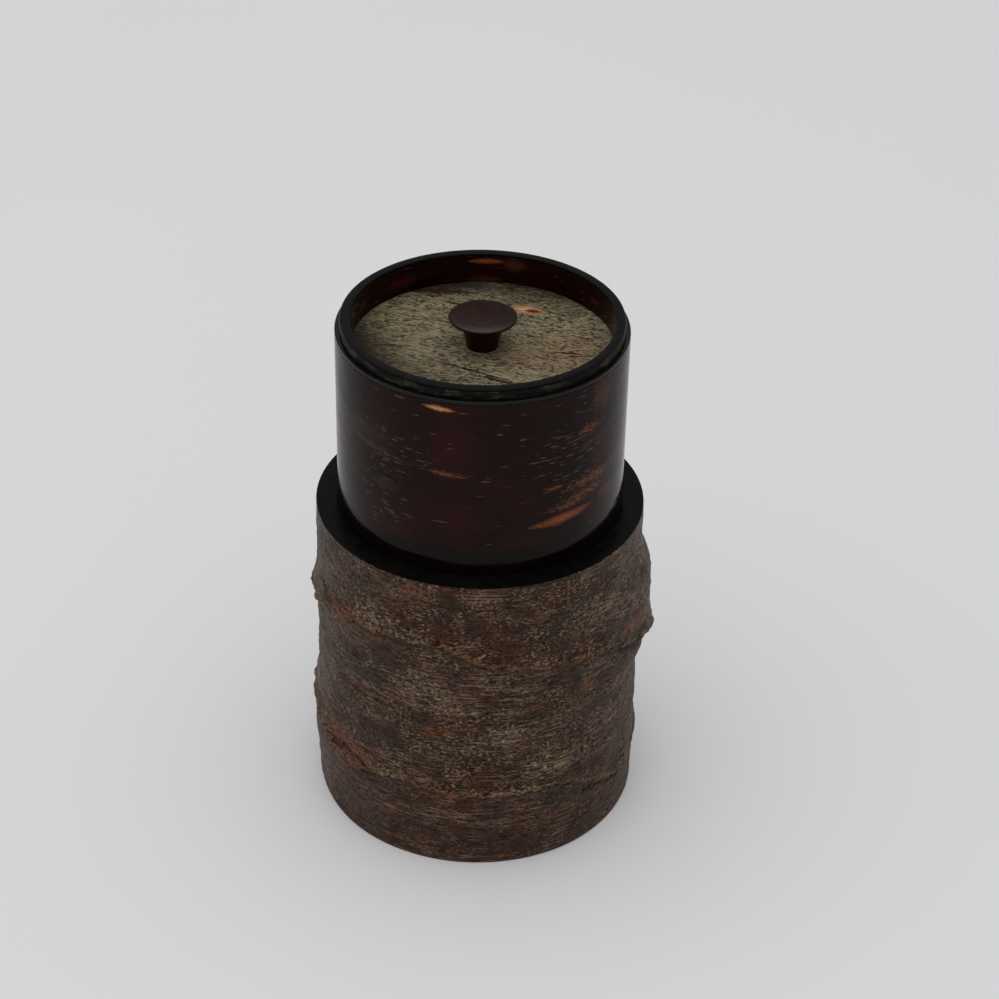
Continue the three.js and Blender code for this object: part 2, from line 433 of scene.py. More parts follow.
def group_of(name, inputs, outputs=("Mask",)):
    """An empty node group with number or vector inputs and value outputs."""
    group = bpy.data.node_groups.new(name, "ShaderNodeTree")
    for key, value in inputs.items():
        kind = "NodeSocketVector" if key == "Vector" else "NodeSocketFloat"
        socket = group.interface.new_socket(key, in_out="INPUT", socket_type=kind)
        if key != "Vector":
            socket.default_value = value
    for key in outputs:
        group.interface.new_socket(key, in_out="OUTPUT", socket_type="NodeSocketFloat")
    return group, group.nodes.new("NodeGroupInput").outputs, group.nodes.new("NodeGroupOutput").inputs


# Streaks: cloudy marks drawn out along the grain, cut off between two levels of the noise.
streak_group, given, result = group_of(
    "Bark Streaks",
    {"Vector": 0, "Length": 5, "Depth": 5, "Height": 1, "Seed": 0, "Detail": 3, "Low": 0.4, "High": 0.6},
)
grain_size = node(streak_group, "CombineXYZ", {0: given["Length"], 1: given["Depth"], 2: given["Height"]})
grain_place = node(streak_group, "VectorMath", {0: given["Vector"], 1: grain_size}, operation="DIVIDE")
grain_place = node(streak_group, "VectorMath", {0: grain_place, 1: given["Seed"]}, operation="ADD")
grain_noise = node(streak_group, "TexNoise", {"Vector": grain_place, "Scale": 1, "Detail": given["Detail"]})
streak_mask = ramp(streak_group, grain_noise, given["Low"], given["High"])
streak_group.links.new(streak_mask.outputs[0], result["Mask"])


def fed(tree, group, settings):
    """Puts a node group into a material with its own values."""
    return node(tree, "Group", settings, node_tree=group)


def streaks(tree, vector, length, height, low, high, seed=0.0, detail=3.0, flat=False):
    """Streaks that run round a tube, or along X on a flat disc."""
    settings = {"Vector": vector, "Length": length, "Depth": height if flat else length, "Height": height}
    settings.update({"Seed": seed, "Detail": detail, "Low": low, "High": high})
    return fed(tree, streak_group, settings)


def mark_of(tree, mark):
    """A mark of the bark's relief, for its finish."""
    return node(tree, "Attribute", attribute_name="bark_" + mark).outputs["Fac"]


def frayed(tree, mark, noise, low, high):
    """A mark whose edge is broken up by a noise."""
    return ramp(tree, product_of(tree, mark_of(tree, mark), noise), low, high)


natural_finish, tree, shader = finish(
    "natural_bark", roughness=0.42, ior=1.18, sheen_weight=0.16, sheen_roughness=0.2
)
place = place_mm(tree)
ragged = streaks(tree, place, 1.2, 0.7, 0.25, 0.8, 3.1, 5)
broken = streaks(tree, place, 2.4, 1.5, 0.46, 0.58, 41.0, 3)
red_ground = streaks(tree, place, 12, 5, 0.40, 0.58, 7.7, 4)
mottle = streaks(tree, place, 2.0, 1.0, 0.40, 0.60, 21.3, 4)
line_zone = streaks(tree, place, 15, 9, 0.44, 0.60, 15.2)
lines = streaks(tree, place, 6.0, 0.34, 0.51, 0.60, 1.3, 3)
specks = streaks(tree, place, 0.85, 0.46, 0.51, 0.60, 5.9, 3)
speck_zone = streaks(tree, place, 7, 4, 0.36, 0.60, 12.4, 4)
pits = streaks(tree, place, 1.1, 0.50, 0.54, 0.63, 9.2, 3)
furrows = streaks(tree, place, 4.5, 0.65, 0.60, 0.68, 33.0, 4)
height = node(tree, "SeparateXYZ", {0: place}).outputs["Z"]
rough_part = node(tree, "MapRange", {0: height, 1: 13.0, 2: 26.0, 3: 0.4, 4: 1.0})
specks = product_of(tree, specks, rough_part)
colour = painted(tree, rgb(0.054, 0.0255, 0.0115), rgb(0.075, 0.0205, 0.0100), red_ground)
colour = painted(tree, colour, rgb(0.0165, 0.0078, 0.0034), mottle, 0.75)
fold_tan = frayed(tree, "fold", ragged, 0.12, 0.50)
colour = painted(tree, colour, rgb(0.235, 0.108, 0.042), fold_tan, 0.75)
# Painted shadow: dark blotches along the folds stand for the shadows that their lumps throw.
lump_shadows = streaks(tree, place, 2.4, 1.1, 0.47, 0.58, 50.0, 3)
colour = painted(tree, colour, rgb(0.013, 0.0065, 0.0030), mark_of(tree, "fold"), lump_shadows, 0.85)
colour = painted(tree, colour, rgb(0.245, 0.145, 0.092), lines, line_zone, 0.80)
colour = painted(tree, colour, rgb(0.270, 0.176, 0.108), specks, speck_zone, 0.90)
rust_edge = frayed(tree, "rust", ragged, 0.12, 0.42)
colour = painted(tree, colour, rgb(0.190, 0.062, 0.022), rust_edge, 0.80)
crust_edge = frayed(tree, "crust", ragged, 0.22, 0.5)
crust_share = sum_of(tree, product_of(tree, specks, 0.60), 0.25)
colour = painted(tree, colour, rgb(0.37, 0.275, 0.175), crust_edge, crust_share)
# Painted shade: the bark in a band just below each fold is darkened, as shade under the fold's edge.
fold_shade_edge = frayed(tree, "under", ragged, 0.12, 0.50)
colour = painted(tree, colour, rgb(0.014, 0.0070, 0.0035), fold_shade_edge, 0.75)
colour = painted(tree, colour, rgb(0.0080, 0.0045, 0.0025), pits, 0.85)
colour = painted(tree, colour, rgb(0.010, 0.0050, 0.0028), furrows, 0.8)
crack_shade = frayed(tree, "crack", broken, 0.25, 0.70)
colour = painted(tree, colour, rgb(0.004, 0.0026, 0.0018), crack_shade, 0.9)
raised = sum_of(tree, product_of(tree, lines, 0.5), product_of(tree, specks, 0.6))
relief = sum_of(tree, raised, product_of(tree, pits, -0.8), product_of(tree, furrows, -1.2))
applied(tree, shader, colour, relief, 1.0, 0.32)
belongs(jacket, natural_finish, "caddy", "rough_bark", "bark_jacket")

# ---------------------------------------------------------------- Veneer wraps and boards
# Under the bark the body is two wraps of bent cherry veneer, closed below by a plain board. They are never
# seen once it is glued up, so they stay as cut: pale wood with its grain, one wrap or board like the next.
ring_group, given, result = group_of("Veneer Grain", {"Vector": 0, "Spacing": 1.6, "Waver": 3, "Seed": 0})
seeded = node(ring_group, "VectorMath", {0: given["Vector"], 1: given["Seed"]}, operation="ADD")
waver = node(ring_group, "TexNoise", {"Vector": seeded, "Scale": 0.05, "Detail": 2})
across = node(ring_group, "SeparateXYZ", {0: seeded}).outputs["Y"]
bent = sum_of(ring_group, across, product_of(ring_group, waver, given["Waver"], 6))
turns = node(ring_group, "Math", {0: bent, 1: given["Spacing"]}, operation="DIVIDE")
wave = node(ring_group, "Math", {0: turns}, operation="FRACT")
ring_group.links.new(ramp(ring_group, wave, 0.1, 1.0).outputs[0], result["Mask"])


def veneer_wood(name, seed, tube):
    """Pale cherry wood. Its grain runs round a tube, and along X on a board."""
    material, tree, shader = finish(name, roughness=0.6, ior=1.4)
    place = place_mm(tree)
    laid = place
    if tube:
        laid = node(tree, "VectorRotate", {"Vector": place, "Angle": math.pi / 2}, rotation_type="X_AXIS")
    rings = fed(tree, ring_group, {"Vector": laid, "Spacing": 1.8, "Waver": 4, "Seed": seed})
    pores = streaks(tree, laid, 5, 0.25, 0.55, 0.70, seed, 3, flat=True)
    clouds = streaks(tree, place, 12, 8, 0.3, 0.7, seed + 3)
    colour = painted(tree, rgb(0.46, 0.29, 0.155), rgb(0.34, 0.185, 0.088), rings)
    colour = painted(tree, colour, rgb(0.28, 0.15, 0.08), clouds, 0.3)
    colour = painted(tree, colour, rgb(0.16, 0.08, 0.04), pores, 0.5)
    applied(tree, shader, colour, product_of(tree, pores, -1), 0.3, 0.05)
    return material


def dress(name, material):
    """Gives a piece of the frame that is shown as it is its finish."""
    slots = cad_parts[name].data.materials
    slots.clear()
    slots.append(material)


dress("body_wrap_outer", veneer_wood("veneer_wrap_outer", 2.0, tube=True))
dress("body_wrap_inner", veneer_wood("veneer_wrap_inner", 9.0, tube=True))
dress("base_board", veneer_wood("cherry_base_board", 17.0, tube=False))

# ---------------------------------------------------------------- Lacquered mouth ring
# The end of the body's wall is trued, and a thin turned ring is let into it, then ring and bark are lacquered
# black together, so that from above they are one flat band round the foot of the sleeve.
sleeve_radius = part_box("sleeve_bark")[1][0]
lacquer_skin = 0.06 * mm
lacquer_depth = 0.15 * mm  # the band's thickness below the mouth


def black_lacquer(name, roughness, ior):
    """Black lacquer, rubbed down by hand, so that its shine is a little uneven."""
    material, tree, shader = finish(name, ior=ior)
    place = place_mm(tree)
    rubbing = streaks(tree, place, 3, 3, 0.3, 0.75, 2.2, 5)
    colour = painted(tree, rgb(0.0022, 0.0022, 0.0020), rgb(0.0045, 0.0045, 0.0042), rubbing)
    gloss = node(tree, "MapRange", {0: rubbing, 3: roughness * 0.8, 4: roughness * 1.3})
    applied(tree, shader, colour, rubbing, 0.12, 0.04, gloss)
    return material


mouth_ring = turned(
    "mouth_ring_lacquered", sleeve_radius + glue, mouth_radius - 0.08 * mm,
    mouth_height - lacquer_depth, mouth_height + lacquer_skin, 0.07 * mm,
)
belongs(mouth_ring, black_lacquer("satin_lacquer", 0.28, 1.13), "caddy", "black_lacquer", "mouth_ring")

# ---------------------------------------------------------------- Sleeve of polished bark
# A veneer tube with cherry bark pressed on it stands up out of the body. The bark is scraped to its dark red
# inner layer and polished like glass, so that its short pale pores and its orange scars show.
sleeve_low, sleeve_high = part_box("sleeve_bark")
sleeve_core_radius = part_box("sleeve_core")[1][0]

# Dashes: the bark's pores, each a short bar in a cell of its own, in only a share of the cells.
dash_group, given, result = group_of(
    "Bark Pores",
    {"Vector": 0, "Cell Length": 3.2, "Cell Height": 1.1, "Length": 0.9, "Height": 0.1, "Share": 0.4},
)
cell = node(dash_group, "CombineXYZ", {0: given["Cell Length"], 1: given["Cell Height"], 2: 1.0})
celled = node(dash_group, "VectorMath", {0: given["Vector"], 1: cell}, operation="DIVIDE")
cells = node(dash_group, "TexVoronoi", {"Vector": celled, "Scale": 1}, voronoi_dimensions="2D")
offset = node(dash_group, "VectorMath", {0: celled, 1: cells.outputs["Position"]}, operation="SUBTRACT")
offset = node(dash_group, "VectorMath", {0: offset, 1: cell}, operation="MULTIPLY")
chance = node(dash_group, "SeparateColor", {0: cells.outputs["Color"]}).outputs
bar_length = product_of(dash_group, given["Length"], sum_of(dash_group, chance["Red"], 0.35))
bar = node(dash_group, "CombineXYZ", {0: bar_length, 1: given["Height"], 2: 1.0})
bar_place = node(dash_group, "VectorMath", {0: offset, 1: bar}, operation="DIVIDE")
bar_place = node(dash_group, "VectorMath", {0: bar_place, 1: (1.0, 1.0, 0.0)}, operation="MULTIPLY")
bar_reach = node(dash_group, "VectorMath", {0: bar_place}, operation="LENGTH").outputs["Value"]
bar_mask = ramp(dash_group, bar_reach, 1.3, 0.6)
drawn = node(dash_group, "Math", {0: chance["Green"], 1: given["Share"]}, operation="LESS_THAN")
strength = sum_of(dash_group, product_of(dash_group, chance["Blue"], 0.7), 0.3)
dash_mask = product_of(dash_group, bar_mask, drawn, strength)
dash_group.links.new(dash_mask.outputs[0], result["Mask"])

# Scars: a spindle-shaped patch with ragged edges, and its lighter heart.
scar_group, given, result = group_of(
    "Bark Scar",
    {"Vector": 0, "Along": 0, "Up": 0, "Half Length": 4, "Half Height": 1, "Slope": 0, "Ragged": 0.5},
    ("Mask", "Heart"),
)
scar_place = node(scar_group, "SeparateXYZ", {0: given["Vector"]}).outputs
along = node(scar_group, "Math", {0: scar_place["X"], 1: given["Along"]}, operation="SUBTRACT")
up = node(scar_group, "Math", {0: scar_place["Y"], 1: given["Up"]}, operation="SUBTRACT")
leaning = product_of(scar_group, along, given["Slope"])
up = node(scar_group, "Math", {0: up, 1: leaning}, operation="SUBTRACT")
along_share = node(scar_group, "Math", {0: along, 1: given["Half Length"]}, operation="DIVIDE")
up_share = node(scar_group, "Math", {0: up, 1: given["Half Height"]}, operation="DIVIDE")
up_share = node(scar_group, "Math", {0: up_share}, operation="ABSOLUTE")
along_share = node(scar_group, "Math", {0: along_share, 1: along_share}, operation="MULTIPLY")
fray_size = (1.6, 0.28, 1.0)
fray_place = node(scar_group, "VectorMath", {0: given["Vector"], 1: fray_size}, operation="DIVIDE")
fray = node(scar_group, "TexNoise", {"Vector": fray_place, "Scale": 1, "Detail": 4})
fray = node(scar_group, "Math", {0: fray, 1: 0.5}, operation="SUBTRACT")
fray = product_of(scar_group, fray, given["Ragged"], 3.0)
depth = node(scar_group, "Math", {0: 1.0, 1: sum_of(scar_group, along_share, up_share)}, operation="SUBTRACT")
depth = sum_of(scar_group, depth, fray)
scar_group.links.new(ramp(scar_group, depth, 0.0, 0.25).outputs[0], result["Mask"])
scar_group.links.new(ramp(scar_group, depth, 0.3, 0.85).outputs[0], result["Heart"])

# The colours of a scar, at its edge and in its heart. The shade tint is painted shade.
# Some tints are smooth and let the bark show through.
scar_colours = {
    "cream": (rgb(0.20, 0.068, 0.030), rgb(0.52, 0.29, 0.14)),
    "orange": (rgb(0.052, 0.016, 0.008), rgb(0.150, 0.046, 0.019)),
    "rust": (rgb(0.024, 0.0075, 0.0045), rgb(0.062, 0.020, 0.0105)),
    "flame": (rgb(0.110, 0.030, 0.010), rgb(0.235, 0.064, 0.019)),
    "red": (rgb(0.022, 0.0040, 0.0030), rgb(0.048, 0.0080, 0.0055)),
    "glow": (rgb(0.0140, 0.0024, 0.0018), rgb(0.0260, 0.0034, 0.0024)),
    "olive": (rgb(0.0150, 0.0078, 0.0038), rgb(0.0270, 0.0136, 0.0058)),
    "shade": (rgb(0.0032, 0.0014, 0.0011), rgb(0.0032, 0.0014, 0.0011)),
    "pink": (rgb(0.050, 0.018, 0.016), rgb(0.110, 0.045, 0.038)),
    "dim": (rgb(0.018, 0.0105, 0.0085), rgb(0.045, 0.028, 0.022)),
    "pale": (rgb(0.034, 0.023, 0.020), rgb(0.100, 0.068, 0.058)),
}
smooth_tints = {"glow": 0.6, "olive": 0.6, "shade": 0.85}


def chart_of(tree, place, radius):
    """Unrolls a tube into millimetres along its bark and up it. A disc, of radius 0, is its own chart."""
    if not radius:
        return place
    parts = node(tree, "SeparateXYZ", {0: place}).outputs
    front = product_of(tree, parts["Y"], -1)
    turn = node(tree, "Math", {0: parts["X"], 1: front}, operation="ARCTAN2")
    return node(tree, "CombineXYZ", {0: product_of(tree, turn, radius / mm), 1: parts["Z"]})


def scar_at(tree, chart, along, up, half_length, half_height, slope, fray):
    """A scar's masks, at a place on a chart."""
    shape = {"Vector": chart, "Along": along, "Up": up, "Slope": slope, "Ragged": fray}
    shape.update({"Half Length": half_length, "Half Height": half_height})
    return fed(tree, scar_group, shape)


def polished_bark(name, radius, seed, scars=(), pore_zones=(), gloss=0.13, ior=1.2):
    """Polished cherry bark. A scar, or a band of painted shade, is (azimuth or x, height or y, half-length,
    half-height, slope, fray, colour), and a zone of pores is (azimuth or x, height or y, half-length,
    half-height)."""
    material, tree, shader = finish(name, ior=ior)
    flat = not radius
    place = place_mm(tree)
    chart = chart_of(tree, place, radius)
    per_degree = 1 if flat else math.radians(radius / mm)
    clouds = streaks(tree, place, 17, 13, 0.38, 0.68, seed, 2, flat)
    fine = streaks(tree, place, 8, 0.30, 0.45, 0.70, seed + 4, 4, flat)
    scar_grain = streaks(tree, place, 0.8, 0.35, 0.38, 0.62, seed + 6, 3, flat)
    colour = painted(tree, rgb(0.0064, 0.0014, 0.0010), rgb(0.0142, 0.0022, 0.0014), clouds)
    colour = painted(tree, colour, rgb(0.0265, 0.0085, 0.0055), fine, 0.35)
    pores = fed(tree, dash_group, {"Vector": chart, "Share": 0.62, "Length": 1.2, "Height": 0.16})
    few_pores = fed(tree, dash_group, {
        "Vector": chart, "Cell Length": 6.5, "Cell Height": 2.7, "Share": 0.35, "Length": 0.9, "Height": 0.12,
    })
    colour = painted(tree, colour, rgb(0.100, 0.052, 0.042), few_pores, 0.7)
    for centre, middle, half_length, half_height in pore_zones:
        zone = scar_at(tree, chart, centre * per_degree, middle, half_length, half_height, 0, 0.9)
        colour = painted(tree, colour, rgb(0.115, 0.066, 0.054), zone, pores, 0.85)
    for centre, *shape, tint in scars:
        scar = scar_at(tree, chart, centre * per_degree, *shape)
        edge, heart = scar_colours[tint]
        solid = smooth_tints.get(tint) or sum_of(tree, product_of(tree, scar_grain, 0.45), 0.55)
        colour = painted(tree, colour, edge, scar.outputs["Mask"], solid)
        colour = painted(tree, colour, heart, scar.outputs["Heart"], solid)
    shine = node(tree, "MapRange", {0: fine, 3: gloss * 0.8, 4: gloss * 1.4})
    uneven = streaks(tree, place, 16, 5, 0.2, 0.8, seed + 8, 2, flat)
    relief = sum_of(tree, uneven, product_of(tree, fine, 0.05), product_of(tree, pores, -0.03))
    applied(tree, shader, colour, relief, 0.25, 0.25, shine)
    return material


sleeve_scars_and_shade = (
    # Painted shade: a wide dark band darkens the sleeve round its foot, where it stands in the mouth ring.
    (0, 84, 400, 8, 0.0, 0.0, "shade"),
    (-11, 118, 7.0, 17, 0.0, 0.7, "glow"),
    (-8, 99, 9.0, 8, 0.0, 0.8, "glow"),
    (-48, 116.5, 7.5, 3.5, 0.0, 1.0, "olive"),
    (-40, 104.0, 5.0, 2.5, 0.0, 1.0, "olive"),
    (-16, 128.5, 4.4, 0.85, -0.06, 0.25, "cream"),
    (-7, 128.0, 1.6, 0.22, 0.0, 0.4, "orange"),
    (-12.5, 111.3, 5.6, 0.85, -0.08, 1.3, "orange"),
    (2, 110.0, 1.4, 0.35, 0.0, 0.8, "orange"),
    (34, 96.7, 10.0, 1.6, 0.06, 0.45, "flame"),
    (30, 105.7, 2.8, 0.7, 0.0, 0.9, "orange"),
    (47, 104.5, 8.0, 1.4, 0.02, 2.8, "orange"),
    (45, 101.3, 8.0, 1.0, 0.05, 2.8, "orange"),
    (36, 99.8, 6.0, 0.8, 0.04, 2.4, "orange"),
    (57, 98.5, 3.6, 2.6, 0.0, 1.6, "rust"),
    (53, 126.0, 4.0, 6.0, 0.1, 1.6, "rust"),
    (46, 118.5, 4.0, 1.0, 0.08, 3.0, "orange"),
    (48, 114.5, 5.0, 0.8, 0.08, 3.0, "rust"),
    (-46, 112.9, 12.5, 0.9, -0.09, 2.0, "dim"),
    (-53, 117.2, 4.0, 0.5, -0.05, 1.2, "dim"),
    (-18, 121.6, 1.1, 0.20, 0.0, 0.4, "pale"),
    (-11.5, 119.6, 0.9, 0.14, 0.0, 0.3, "pale"),
    (-11.5, 118.3, 1.1, 0.17, 0.0, 0.3, "pale"),
    (-43.5, 128.7, 1.6, 0.5, 0.0, 0.6, "red"),
    (-32, 129.0, 2.1, 0.35, 0.0, 0.5, "pink"),
    (-25, 125.5, 1.0, 0.28, 0.0, 0.5, "pale"),
    (7, 122.5, 1.0, 0.32, 0.0, 0.5, "pale"),
    (16, 120.6, 1.2, 0.4, 0.0, 0.6, "pink"),
    (-15, 98.2, 3.4, 0.16, 0.0, 0.5, "pale"),
    (-29, 97.8, 2.0, 0.20, -0.06, 0.6, "pale"),
    (110, 118, 6, 1.0, 0.05, 0.6, "orange"),
    (150, 101, 8, 1.3, -0.06, 0.6, "orange"),
    (-130, 108, 7, 1.0, 0.0, 0.6, "orange"),
    (-165, 122, 4, 0.7, 0.0, 0.3, "cream"),
    (-95, 97, 7, 1.4, 0.05, 1.8, "orange"),
    (95, 96, 8, 4, 0.0, 0.6, "glow"),
    (178, 112, 9, 12, 0.0, 0.6, "glow"),
)
sleeve_pores = (
    (-41, 101, 8, 9), (-36, 114.5, 13, 6), (36, 112, 12, 10), (50, 126, 8, 5), (100, 108, 16, 14),
    (165, 105, 14, 14), (-110, 112, 15, 14), (-150, 100, 12, 8),
)
sleeve = turned(
    "sleeve_polished_bark", sleeve_core_radius + glue, sleeve_radius, sleeve_low[2], sleeve_high[2], 0.06 * mm
)
sleeve_finish = polished_bark("polished_sleeve_bark", sleeve_radius, 3.0, sleeve_scars_and_shade, sleeve_pores)
belongs(sleeve, sleeve_finish, "caddy", "polished_bark", "sleeve_bark")
dress("sleeve_core", veneer_wood("veneer_sleeve_tube", 25.0, tube=True))

# ---------------------------------------------------------------- Sleeve rim
# The top of the sleeve's wall is trued and lacquered black over all its layers, with its edges eased.
rim_low, rim_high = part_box("sleeve_rim")
lining_low, lining_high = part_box("sleeve_lining")
lining_thickness = 0.3 * mm
tea_bore = lining_high[0] - lining_thickness
sleeve_rim = turned("sleeve_rim_lacquered", tea_bore, rim_high[0], rim_low[2], rim_high[2], 0.25 * mm)
belongs(sleeve_rim, black_lacquer("rim_lacquer", 0.12, 1.27), "caddy", "black_lacquer", "sleeve_rim")

# ---------------------------------------------------------------- Tea space: lining, floor and base
# Inside, the sleeve is lined with thin polished bark, and a board with a bark disc on it makes the floor.
# Another bark disc closes the underside of the body.
facet = math.cos(math.pi / 48)  # the frame's tubes have 48 flats, which a rounder lining must clear


def bark_disc(name, node_name, body, seed, scars=(), pore_zones=(), corner=0.08):
    """A disc of polished bark, glued down on a board."""
    low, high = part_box(node_name)
    piece = turned(name, 0, high[0] * facet, low[2], high[2], corner * mm)
    material = polished_bark(name + "_finish", 0, seed, scars, pore_zones, gloss=0.16)
    belongs(piece, material, body, "polished_bark", node_name)


lining = turned(
    "sleeve_lining_bark", tea_bore, lining_high[0] * facet, lining_low[2], lining_high[2], 0.06 * mm
)
lining_scars = (
    (170, 118, 9, 1.2, 0.0, 0.6, "orange"),
    (40, 112, 7, 1.0, 0.05, 0.6, "red"),
    (-60, 100, 9, 5, 0, 0.6, "red"),
    (-120, 80, 10, 2, 0.1, 0.7, "orange"),
    (100, 60, 9, 2, 0, 0.6, "red"),
    (-20, 40, 9, 1.5, 0, 0.6, "orange"),
)
lining_pores = ((180, 105, 20, 16), (90, 90, 20, 18), (-90, 110, 18, 12), (0, 70, 20, 20))
lining_finish = polished_bark("polished_lining_bark", tea_bore, 31.0, lining_scars, lining_pores)
belongs(lining, lining_finish, "caddy", "polished_bark", "sleeve_lining")
bark_disc(
    "tea_floor_bark", "inner_bottom_bark", "caddy", 41.0,
    ((-8, 6, 8, 1.2, 0.1, 0.6, "orange"), (12, -9, 9, 3, 0, 0.6, "red")),
    ((4, 10, 16, 10), (-10, -12, 12, 8)),
)
base_scars = (
    (9, 12, 10, 1.6, -0.08, 0.6, "orange"),
    (-14, -10, 12, 4, 0.1, 0.6, "red"),
    (-12, 17, 5, 0.9, 0, 0.3, "cream"),
)
bark_disc(
    "base_polished_bark", "base_bark", "caddy", 47.0, base_scars,
    ((-8, 2, 18, 12), (16, -14, 14, 10)), corner=0.15,
)
dress("inner_bottom_board", veneer_wood("cherry_inner_board", 33.0, tube=False))

# ---------------------------------------------------------------- Inner lid: flange ring and its bark lip
# A hardwood ring is turned with a rounded bead, lacquered black, and rests on the sleeve's rim. A narrow
# strip of frosted bark is pressed round its edge under the bead.
ring_low, ring_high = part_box("lid_ring")
lip_low, lip_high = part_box("lid_lip_bark")
well_low, well_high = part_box("lid_well_bark")
bead_bottom = ring_high[2] - 0.62 * mm
bead_gap = 0.02 * mm
bark_top = bead_bottom - bead_gap  # where the bark of the lip and of the well ends, under the bead
well_lining = 0.35 * mm
well_bore = well_high[0] - well_lining

bead_radius = lip_high[0] - 0.03 * mm
lid_ring = turned("lid_ring_lacquered", well_bore, bead_radius, bead_bottom, ring_high[2], 0.28 * mm)
choose(lid_ring, lambda face: face.normal.z < -0.99, "polygons")
bpy.ops.mesh.inset(thickness=0.17 * mm)
tongue = (0, 0, ring_low[2] - bead_bottom)
bpy.ops.mesh.extrude_region_move(TRANSFORM_OT_translate={"value": tongue})
bpy.ops.object.mode_set(mode="OBJECT")
belongs(lid_ring, black_lacquer("ring_lacquer", 0.15, 1.15), "inner_lid", "black_lacquer", "lid_ring")


def frosted_bark(name, radius, tilt, frost, scars=(), patches=()):
    """Cherry bark with its grey outer skin left on, full of fine dark pits along the grain. Frost says how
    much of the skin is left. A patch is a soft wide tint or painted shade, and scars are drawn as on
    polished bark."""
    material, tree, shader = finish(name, roughness=0.5, ior=1.18)
    flat = not radius
    place = place_mm(tree)
    laid = place
    if flat:
        laid = node(tree, "VectorRotate", {"Vector": place, "Angle": tilt}, rotation_type="Z_AXIS")
    chart = chart_of(tree, place, radius)
    pits = streaks(tree, laid, 1.0, 0.36, 0.50, 0.58, 4.0, 3, flat)
    long_pits = streaks(tree, laid, 3.0, 0.30, 0.565, 0.63, 14.0, 3, flat)
    pit_zone = streaks(tree, laid, 7, 4, 0.20, 0.50, 24.0, 3, flat)
    grain = streaks(tree, laid, 0.42, 0.20, 0.35, 0.70, 34.0, 2, flat)
    blotches = streaks(tree, laid, 6, 2.2, 0.42, 0.62, 44.0, 4, flat)
    skin = streaks(tree, laid, 4.5, 1.6, 0.62 - frost * 0.5, 0.80 - frost * 0.5, 54.0, 5, flat)
    colour = painted(tree, rgb(0.225, 0.184, 0.104), rgb(0.150, 0.128, 0.076), blotches)
    colour = painted(tree, colour, rgb(0.37, 0.315, 0.195), grain, 0.42)
    for *shape, share, tint in patches:
        soft = scar_at(tree, chart, *shape, 0.25)
        colour = painted(tree, colour, tint, soft.outputs["Heart"], share)
    colour = painted(tree, colour, rgb(0.020, 0.014, 0.009), pits, pit_zone, 0.95)
    colour = painted(tree, colour, rgb(0.018, 0.011, 0.007), long_pits, 0.85)
    for *shape, edge, heart in scars:
        scar = scar_at(tree, chart, *shape)
        colour = painted(tree, colour, edge, scar.outputs["Mask"])
        colour = painted(tree, colour, heart, scar.outputs["Heart"])
    colour = painted(tree, rgb(0.0045, 0.0042, 0.0034), colour, skin)
    sunk = sum_of(tree, product_of(tree, pits, -1), product_of(tree, long_pits, -0.8))
    applied(tree, shader, colour, sum_of(tree, sunk, product_of(tree, grain, 0.3)), 0.5, 0.12)
    return material


lip_shade = rgb(0.037, 0.036, 0.026)
patch_step = 29.3  # millimetres along the lip
lip_patches = tuple((step * patch_step, 132, 40, 60, 0, 1.0, lip_shade) for step in range(-3, 4))
lip = turned("lid_lip_frosted_bark", ring_high[0] + glue, lip_high[0], lip_low[2], bark_top, 0.10 * mm)
lip_finish = frosted_bark("frosted_lip_bark", lip_high[0], 0, 0.34, patches=lip_patches)
belongs(lip, lip_finish, "inner_lid", "frosted_bark", "lid_lip_bark")

# ---------------------------------------------------------------- Inner lid: plug and well
# The plug that slides in the sleeve is a short veneer tube with polished bark outside. More polished bark
# lines the well above the lid's board, and a disc of it covers the board from below.
plug_low, plug_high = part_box("lid_plug_bark")
plug_core_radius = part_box("lid_plug_core")[1][0]
plug = turned(
    "lid_plug_polished_bark", plug_core_radius + glue, plug_high[0], plug_low[2], plug_high[2], 0.12 * mm
)
plug_scars = (
    (-20, 126, 6, 0.9, 0, 0.6, "orange"),
    (60, 124, 7, 3, 0, 0.6, "red"),
    (150, 127, 5, 0.8, 0, 0.5, "orange"),
    (-110, 125, 8, 3, 0, 0.6, "red"),
)
plug_pores = ((0, 126, 16, 5), (80, 125, 14, 6), (180, 126, 18, 6), (-90, 126, 14, 5))
plug_finish = polished_bark("polished_plug_bark", plug_high[0], 57.0, plug_scars, plug_pores)
belongs(plug, plug_finish, "inner_lid", "polished_bark", "lid_plug_bark")

well = turned("lid_well_polished_bark", well_bore, well_high[0] * facet, well_low[2], bark_top, 0.08 * mm)
# The well's bark is charted up to 180 degrees behind, so a scar that crosses there is given on both sides.
well_scars = (
    (178.5, 131.6, 5.5, 0.9, 0, 0.3, "flame"), (-181.5, 131.6, 5.5, 0.9, 0, 0.3, "flame"),
    (179.5, 126.6, 5.5, 1.3, 0, 0.3, "rust"), (-180.5, 126.6, 5.5, 1.3, 0, 0.3, "rust"),
    (166, 131, 4.0, 2.6, 0, 0.6, "rust"), (120, 129, 3, 1.2, 0, 0.8, "red"),
    (-140, 129, 6, 2, 0, 0.8, "red"), (60, 130, 6, 2, 0, 0.8, "red"), (-60, 129, 6, 2, 0, 0.8, "red"),
)
well_finish = polished_bark(
    "polished_well_bark", well_bore, 63.0, well_scars, ((60, 130, 12, 4), (-100, 129, 10, 4)), ior=1.13
)
belongs(well, well_finish, "inner_lid", "polished_bark", "lid_well_bark")
